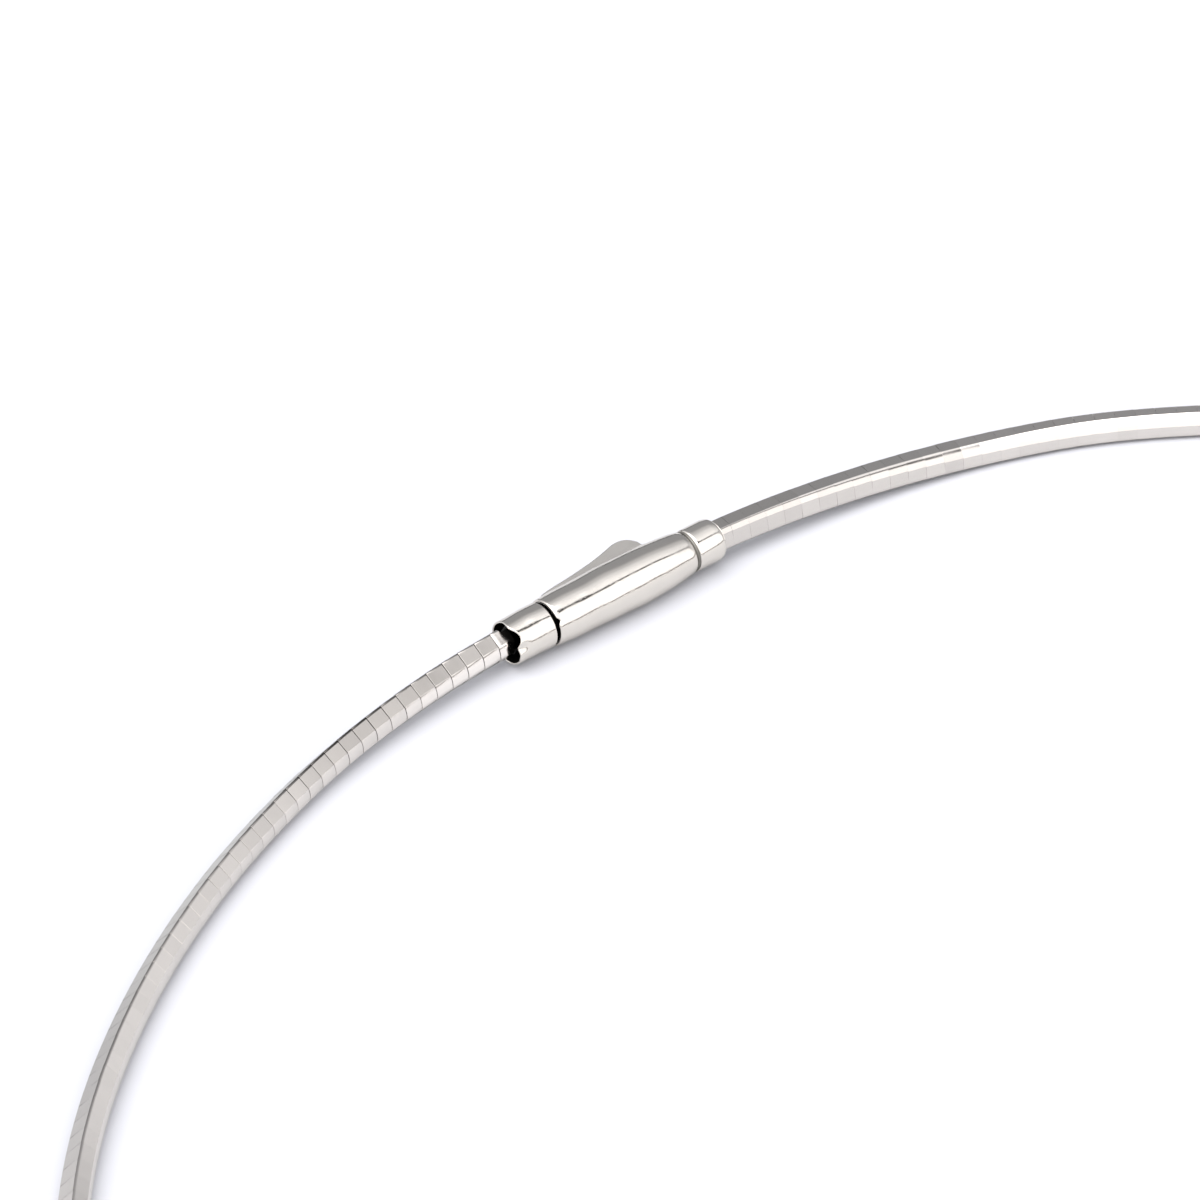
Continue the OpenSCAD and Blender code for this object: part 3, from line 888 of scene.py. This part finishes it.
# %% The outline of the barrel and its collar
BARREL_START = CAP_LEN + SEAM_GAP
BARREL_STOP = BARREL_START + BARREL_LEN
COLLAR_START = BARREL_STOP + NECK_W
SLOT_STOP = LEVER_LINE[-1][0] + 0.5
BORE_STOP = SLOT_STOP + SEAM_GAP
COLLAR_TOP_R = COLLAR_R + COLLAR_SWELL
# The fall towards the groove is flatter at first than a cosine
FALL_POWER = 0.7
# The nick in the lip: how far it goes in, and where it fades out along the barrel
NICK_DEPTH, NICK_LEN = 0.15, 0.4

def barrel_radius(x):
    x = x - BARREL_START
    w = BARREL_WIDE_AT * BARREL_LEN
    if x < w:
        return BARREL_MOUTH_R + (BARREL_WIDE_R - BARREL_MOUTH_R) * math.sin(math.pi / 2 * max(x, 0) / w)
    fall = max(math.cos(math.pi / 2 * (x - w) / (BARREL_LEN - w)), 0) ** FALL_POWER
    return BARREL_END_R + (BARREL_WIDE_R - BARREL_END_R) * fall

def collar_radius(x):
    """Straight for the first half, then drawn in towards the chain."""
    return COLLAR_R + COLLAR_SWELL * math.sin(math.pi * max((x - COLLAR_START) / COLLAR_LEN, 0.5))

def notched_mouth(r, x, angle):
    """A small nick in the barrel's lip, on the side towards the camera."""
    return r, x + float(smooth(1 - (x - BARREL_START) / NICK_LEN)) * NICK_DEPTH * bump(angle, 143, 10)

# The groove, from the barrel's end to the collar's rounded shoulder: radius, place along the clasp
GROOVE_LINE = [
    (BARREL_END_R - 0.02, BARREL_STOP), (NECK_R + 0.03, BARREL_STOP + 0.07), (NECK_R, BARREL_STOP + 0.16),
    (NECK_R + 0.01, COLLAR_START), (NECK_R + 0.03, COLLAR_START + 0.02),
    (COLLAR_TOP_R - 0.06, COLLAR_START + 0.05), (COLLAR_TOP_R - 0.01, COLLAR_START + 0.11)]
print("the groove is at, mm along the clasp:", round(BARREL_STOP, 2), "to", round(COLLAR_START, 2))

# %% The barrel
# Radius of the collar's rounded end, and the chamfer at the hole for the chain
COLLAR_END_R, HOLE_CHAMFER = 0.30, 0.03
# Steps along the body and the collar, how far from the start they begin, and how far from the end they stop
BODY_STEPS, BODY_FROM, BODY_TO = 40, 0.3, 0.06
COLLAR_STEPS, COLLAR_FROM, COLLAR_UNTIL = 10, 0.18, 0.4

def build_barrel():
    socket = SEAT_R + SOCKET_CLEAR
    bottom = CLASP_LEN - HELD_LEN - SOCKET_CLEAR
    profile = [(0, BORE_STOP), (BORE_R, BORE_STOP), (BORE_R, BARREL_START + 2 * LIP_R)]
    profile += arc(BARREL_MOUTH_R - LIP_R, BARREL_START + LIP_R, LIP_R, 180, 360, 8)
    profile += steps(barrel_radius, BARREL_START + BODY_FROM, BARREL_STOP - BODY_TO, BODY_STEPS)
    groove = len(profile)
    profile += GROOVE_LINE
    profile += steps(collar_radius, COLLAR_START + COLLAR_FROM, CLASP_LEN - COLLAR_UNTIL, COLLAR_STEPS)
    profile += arc(COLLAR_R - COLLAR_END_R, CLASP_LEN - COLLAR_END_R, COLLAR_END_R, 0, 60, 5)
    profile += [(socket + HOLE_CHAMFER, CLASP_LEN - HOLE_CHAMFER / 2), (socket, CLASP_LEN - HOLE_CHAMFER),
                (socket, bottom), (0, bottom)]
    last = len(profile) - 1
    # The bore and the socket are painted near black as shade, and the groove grey as shade
    return spun("barrel_shell", profile, "barrel", notched_mouth, [*range(5), last - 2, last - 1],
                range(groove, groove + 5))

barrel = build_barrel()

# %% [markdown]
# The lever comes out through a slot along the barrel's outer side. It could be left out of the sweep, but the
# slot's edges run straight and the barrel's don't, so a box is taken away with a boolean. The result is
# stored as a plain mesh at once, so no modifier is left that would be worked out again for each render.

# %% Cutting the lever's slot
# How far the box reaches out of the barrel's mouth and its side, and its broken edges
TOOL_OUT, TOOL_SIDE, TOOL_EDGE = 0.6, 3.5, 0.05

def slot_tool():
    half = LEVER_H / 2 + SLOT_CLEAR
    points, faces = bar(BARREL_START - TOOL_OUT, SLOT_STOP, 0.0, TOOL_SIDE, -half, half, e=TOOL_EDGE)
    mesh = bpy.data.meshes.new("slot")
    mesh.from_pydata([tuple(on_clasp(p) / 1000) for p in points], [], faces)
    tool = bpy.data.objects.new("slot", mesh)
    bpy.context.scene.collection.objects.link(tool)
    return tool

def cut_slot():
    tool = slot_tool()
    m = barrel.modifiers.new("slot", "BOOLEAN")
    m.operation, m.solver, m.object = "DIFFERENCE", "EXACT", tool
    bpy.context.view_layer.update()
    done = bpy.data.meshes.new_from_object(barrel.evaluated_get(bpy.context.evaluated_depsgraph_get()))
    barrel.modifiers.clear()
    barrel.data = done
    bpy.data.objects.remove(tool)
    set_shading(done)
    print("barrel after the slot:", len(done.polygons), "faces")

cut_slot()

# %% [markdown]
# The lever is a thin fin with rounded edges. Its line in plan is a curve through a few chosen points, closed
# by a straight inner edge inside the barrel; a knuckle round the pin is added at its root. The knuckle, its
# web and a small block that fills the slot's open end are dark, as they lie in the barrel's shadow.

# %% A curve through chosen points
def curve_through(pts, n):
    """A smooth line through points, with n steps between each two."""
    pts = np.asarray(pts, float)
    ends = np.vstack([2 * pts[0] - pts[1], pts, 2 * pts[-1] - pts[-2]])
    out = []
    for i in range(1, len(ends) - 2):
        a, b, c, d = ends[i - 1:i + 3]
        for t in np.arange(n) / n:
            bends = (2 * a - 5 * b + 4 * c - d) * t * t + (3 * b - a - 3 * c + d) * t ** 3
            out.append(0.5 * (2 * b + (c - a) * t + bends))
    return np.array(out + [pts[-1]])

EDGE_STEPS = 6
LEVER_EDGE = curve_through(LEVER_LINE, EDGE_STEPS)
print("points on the lever's outer edge:", len(LEVER_EDGE))

# %% The lever
LEVER_EDGE_R = 0.12
LEVER_EDGE_ANGLES = (0, 22, 45, 67, 90)
# The dark block in the slot's open end: clearance, overlap with the fin, inner side, step below the fin
BLOCK_FROM, BLOCK_PAST, BLOCK_IN, BLOCK_STEP = 0.08, 0.1, 0.95, 0.05

def fin():
    """The lever's fin: its outline at levels of (drawn in, height) that round its upper and lower edges."""
    start, stop = LEVER_LINE[0][0], LEVER_LINE[-1][0]
    line = np.vstack([LEVER_EDGE, [[stop, LEVER_IN], [start, LEVER_IN]]])
    chords = [line[(i + 1) % len(line)] - line[i - 1] for i in range(len(line))]
    inward = np.array([unit(np.array([t[1], -t[0]])) for t in chords])
    e = LEVER_EDGE_R
    upper = [(e * (1 - turned(g)[0]), LEVER_H / 2 - e + e * turned(g)[1]) for g in LEVER_EDGE_ANGLES]
    levels = [(d, -z) for d, z in reversed(upper)] + upper
    points = [(*p, z) for d, z in levels for p in line + inward * d]
    return points, tube_faces(0, len(levels), len(line))

def lever_root():
    """The web and the knuckle round the pin, and the block in the slot's open end."""
    half = TONGUE_H / 2 - EAR_T - EAR_CLEAR
    start, edge = LEVER_LINE[0]
    web = bar(HINGE_X - KNUCKLE_R / 2, HINGE_X + KNUCKLE_R / 2, HINGE_Y, edge, -half, half)
    block = bar(BARREL_START + BLOCK_FROM, start + BLOCK_PAST, BLOCK_IN, edge - BLOCK_STEP, -half, half)
    return web, rod(KNUCKLE_R, HINGE_X, HINGE_Y, -half, half), block

def build_lever():
    fin_shape = fin()
    bright_faces = len(fin_shape[1])
    points, faces = joined(fin_shape, *lever_root())
    placed = [on_clasp(p) for p in points]
    o = make_piece("side_lever", placed, faces, "lever", ["lever"], "clasp", LEVER_METAL, SHADOW_BLACK_METAL)
    # The web, the knuckle and the block in the slot are painted near black as shade
    for i, f in enumerate(o.data.polygons):
        f.material_index = 1 if i >= bright_faces else 0
    level_normals(o)

build_lever()
